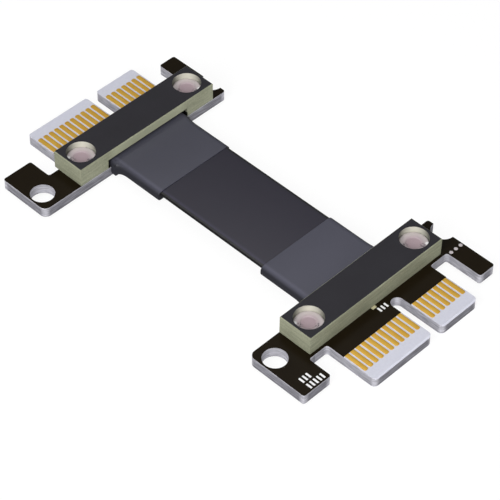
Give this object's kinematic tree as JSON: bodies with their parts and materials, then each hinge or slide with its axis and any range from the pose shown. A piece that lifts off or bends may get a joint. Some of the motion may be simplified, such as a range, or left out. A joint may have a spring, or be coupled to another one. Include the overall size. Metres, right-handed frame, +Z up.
{
  "type": "pcie crossover cable",
  "caption": "Short flat crossover cable with a gold-contact card-edge plug board at each end, clamp bars riveted over the wire ends, and a mounting hole in each board.",
  "frame": {"origin": "middle of the bounding box, on the surface that the rivet tails stand on", "axes": "+Z up through the board tops, +Y along the cable from the front board to the back board, +X across the boards away from their hole tabs"},
  "size_m": [0.036, 0.0656, 0.005],
  "materials": {
    "board_laminate": "black solder mask over glass-epoxy laminate, bare pale edges",
    "contact_gold": "gold-plated copper",
    "bar_laminate": "thick glass-epoxy bar, black top, khaki cut edges",
    "rivet_aluminium": "plain formed aluminium",
    "solder_tin": "tinned, satin",
    "ribbon_copper": "flat drawn copper",
    "ribbon_film": "clear laminated film",
    "sleeve_plastic": "smooth dark grey plastic skin",
    "wrap_plastic": "satin dark grey shrink wrap"
  },
  "bodies": {
    "root": {"front_board": "board_laminate", "back_board": "board_laminate", "front_upper_contacts": "contact_gold", "front_lower_contacts": "contact_gold", "back_upper_contacts": "contact_gold", "back_lower_contacts": "contact_gold", "front_test_pad": "contact_gold", "front_clamp_bar": "bar_laminate", "back_clamp_bar": "bar_laminate", "front_left_rivet": "rivet_aluminium", "front_right_rivet": "rivet_aluminium", "back_left_rivet": "rivet_aluminium", "back_right_rivet": "rivet_aluminium", "front_solder_pads": "solder_tin", "back_solder_pads": "solder_tin", "front_solder_joints": "solder_tin", "back_solder_joints": "solder_tin", "front_round_pads": "solder_tin", "ribbon_conductors": "ribbon_copper", "ribbon_film": "ribbon_film", "cable_sleeve": "sleeve_plastic", "front_end_wrap": "wrap_plastic", "back_end_wrap": "wrap_plastic"}
  },
  "joints": []
}
